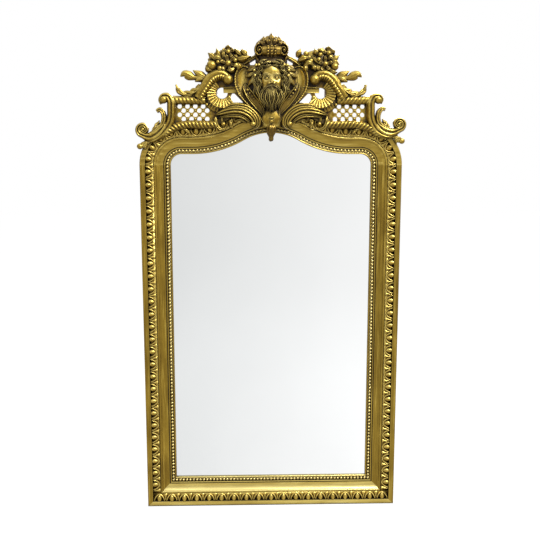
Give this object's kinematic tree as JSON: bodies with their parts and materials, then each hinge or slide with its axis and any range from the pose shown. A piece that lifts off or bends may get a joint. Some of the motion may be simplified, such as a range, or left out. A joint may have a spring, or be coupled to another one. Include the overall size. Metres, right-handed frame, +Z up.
{
  "type": "overmantel mirror",
  "caption": "Tall gilt overmantel mirror: moulded frame with egg-and-dart and beads, arched glass, pierced carved crest with a bearded mask, boarded back and hinged hanging rings.",
  "frame": {"origin": "middle of the frame's bottom edge, on the back plane that lies against the wall", "axes": "+Z up the frame, +X to the viewer's right, +Y back towards the wall, so the glass faces -Y"},
  "size_m": [0.994, 0.1227, 1.8],
  "materials": {
    "gilt_moulding": "gilded, brushed, with dark patina",
    "gilt_ornament": "gilded, rubbed bright on the edges and dark in the hollows",
    "mirror": "silvered glass",
    "bare_wood": "raw",
    "steel": "dull"
  },
  "bodies": {
    "frame": {"acanthus_scroll_left": "gilt_ornament", "acanthus_scroll_right": "gilt_ornament", "backboard_lower": "bare_wood", "backboard_middle": "bare_wood", "backboard_screws": "steel", "backboard_upper": "bare_wood", "bead_strip_bottom": "gilt_moulding", "bead_strip_left": "gilt_moulding", "bead_strip_right": "gilt_moulding", "bead_strip_top": "gilt_moulding", "bottom_rail": "gilt_moulding", "brace_screws": "steel", "c_scroll_left": "gilt_ornament", "c_scroll_right": "gilt_ornament", "cartouche": "gilt_ornament", "corner_volute_left": "gilt_ornament", "corner_volute_right": "gilt_ornament", "crest_brace_centre": "bare_wood", "crest_brace_left": "bare_wood", "crest_brace_right": "bare_wood", "crest_ground": "gilt_ornament", "crown": "gilt_ornament", "egg_strip_bottom": "gilt_moulding", "egg_strip_left": "gilt_moulding", "egg_strip_right": "gilt_moulding", "egg_strip_top": "gilt_moulding", "end_bracket_left": "gilt_ornament", "end_bracket_right": "gilt_ornament", "fruit_cluster_left": "gilt_ornament", "fruit_cluster_right": "gilt_ornament", "glass_blocks": "bare_wood", "hanger_screws": "steel", "hanger_strap_left": "steel", "hanger_strap_right": "steel", "hook_scroll_left": "gilt_ornament", "hook_scroll_right": "gilt_ornament", "joint_dowels": "bare_wood", "lattice_panel_left": "gilt_ornament", "lattice_panel_right": "gilt_ornament", "lattice_rail_left": "gilt_ornament", "lattice_rail_right": "gilt_ornament", "leaf_spray_left": "gilt_ornament", "leaf_spray_right": "gilt_ornament", "left_stile": "gilt_moulding", "mask": "gilt_ornament", "mirror_glass": "mirror", "mitre_keys": "bare_wood", "pendant_drop": "gilt_ornament", "right_stile": "gilt_moulding", "rocaille_fan_left": "gilt_ornament", "rocaille_fan_right": "gilt_ornament", "roped_rail_left": "gilt_ornament", "roped_rail_right": "gilt_ornament", "side_bar_left": "gilt_ornament", "side_bar_right": "gilt_ornament", "top_rail": "gilt_moulding", "top_strap_left": "gilt_ornament", "top_strap_right": "gilt_ornament"},
    "ring_left": {"hanger_ring_left": "steel"},
    "ring_right": {"hanger_ring_right": "steel"}
  },
  "joints": [
    {"name": "ring_left_swing", "type": "hinge", "parent": "frame", "child": "ring_left", "pos_m": [-0.445, 0.0043, 1.15], "axis": [1, 0, 0], "range_deg": [0, 180]},
    {"name": "ring_right_swing", "type": "hinge", "parent": "frame", "child": "ring_right", "pos_m": [0.445, 0.0043, 1.15], "axis": [1, 0, 0], "range_deg": [0, 180]}
  ]
}
